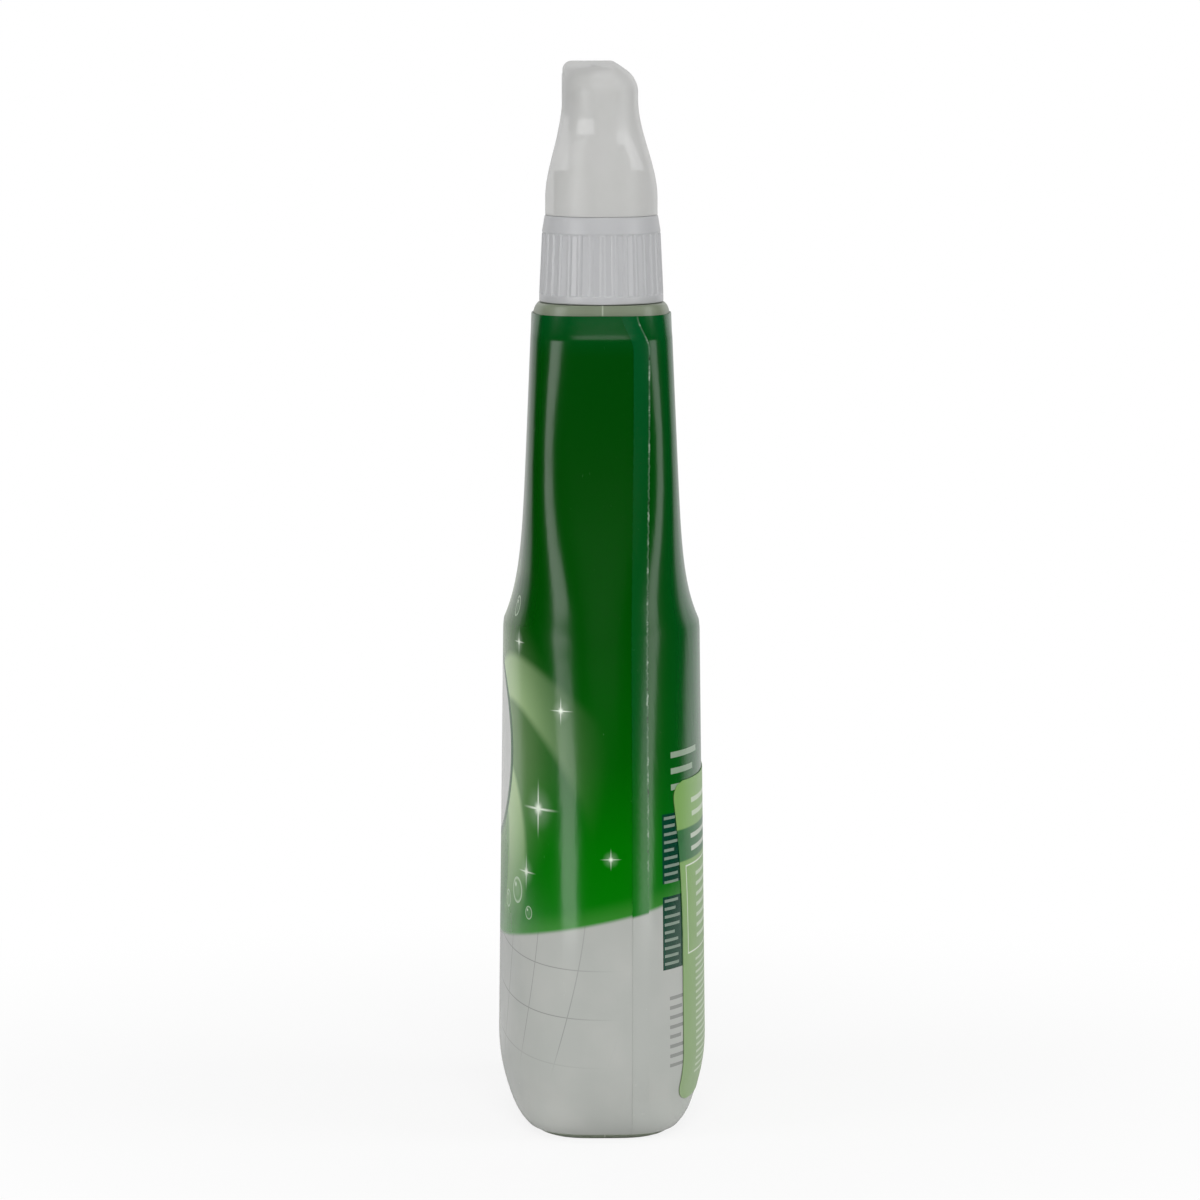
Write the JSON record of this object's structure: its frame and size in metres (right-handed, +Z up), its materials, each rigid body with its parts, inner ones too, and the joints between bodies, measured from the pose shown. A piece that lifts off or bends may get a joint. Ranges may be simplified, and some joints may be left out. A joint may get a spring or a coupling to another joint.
{
  "type": "trigger spray bottle for kitchen cleaner",
  "caption": "Flat-sided kitchen cleaner bottle in a printed shrink sleeve, with a screw-on trigger sprayer that pumps and turns at the nozzle.",
  "frame": {"origin": "centre of the bottle's base, on the neck's axis, at the surface it stands on", "axes": "+Z up along the neck's axis, -X towards the trigger and nozzle, +X towards the rear of the sprayer, +Y towards the back label; the sprayer is turned 3.3 degrees on the neck, as the picture shows"},
  "size_m": [0.1046, 0.056, 0.2839],
  "materials": {
    "bottle": "natural translucent polypropylene, satin",
    "label_sleeve": "printed shrink film, glossy",
    "back_sticker": "printed film sticker, satin",
    "collar": "white moulded plastic, satin",
    "gasket": "soft white elastomer",
    "tube_retainer": "natural polypropylene",
    "dip_tube": "natural polyethylene tube",
    "inlet_ball": "polished stainless ball",
    "pump_body": "natural polypropylene, slightly yellow",
    "piston": "white polyethylene",
    "piston_spring": "stainless spring wire",
    "trigger": "white moulded plastic, satin",
    "outlet_valve": "soft elastomer",
    "swirl_insert": "white moulded plastic",
    "nozzle_seal": "black elastomer",
    "nozzle_cap": "white moulded plastic, satin",
    "shroud": "natural translucent polypropylene, satin"
  },
  "bodies": {
    "bottle": {"bottle": "bottle", "label_sleeve": "label_sleeve", "back_sticker": "back_sticker"},
    "sprayer": {"pump_body": "pump_body", "shroud": "shroud", "tube_retainer": "tube_retainer", "dip_tube": "dip_tube", "gasket": "gasket", "piston_spring": "piston_spring", "outlet_valve": "outlet_valve", "swirl_insert": "swirl_insert", "nozzle_seal": "nozzle_seal"},
    "collar": {"collar": "collar"},
    "trigger": {"trigger": "trigger"},
    "piston": {"piston": "piston"},
    "nozzle_cap": {"nozzle_cap": "nozzle_cap"},
    "inlet_ball": {"inlet_ball": "inlet_ball"}
  },
  "joints": [
    {"name": "sprayer_rise", "type": "slide", "parent": "bottle", "child": "sprayer", "axis": [0, 0, 1], "range_m": [0, 0.00634]},
    {"name": "collar_turn", "type": "hinge", "parent": "sprayer", "child": "collar", "pos_m": [0, 0, 0.2323], "axis": [0, 0, 1], "range_deg": [0, 540]},
    {"name": "trigger_squeeze", "type": "hinge", "parent": "sprayer", "child": "trigger", "pos_m": [-0.02396, -0.00138, 0.27375], "axis": [0.0576, -0.9983, 0], "range_deg": [0, 25.8], "stiffness_Nm_per_rad": 0.8, "springref_deg": -20.05},
    {"name": "piston_stroke", "type": "slide", "parent": "sprayer", "child": "piston", "axis": [0.9983, 0.0576, 0], "range_m": [0, 0.00753], "deforming": ["piston_spring"]},
    {"name": "nozzle_turn", "type": "hinge", "parent": "sprayer", "child": "nozzle_cap", "pos_m": [-0.04393, -0.00253, 0.27475], "axis": [-0.9983, -0.0576, 0], "continuous": true},
    {"name": "inlet_ball_lift", "type": "slide", "parent": "sprayer", "child": "inlet_ball", "axis": [0, 0, 1], "range_m": [0, 0.0011]}
  ],
  "couplings": [
    {"joint": "collar_turn", "follows": "sprayer_rise", "rad_per_m": 1484.3},
    {"joint": "piston_stroke", "follows": "trigger_squeeze", "m_per_rad": 0.016697}
  ]
}
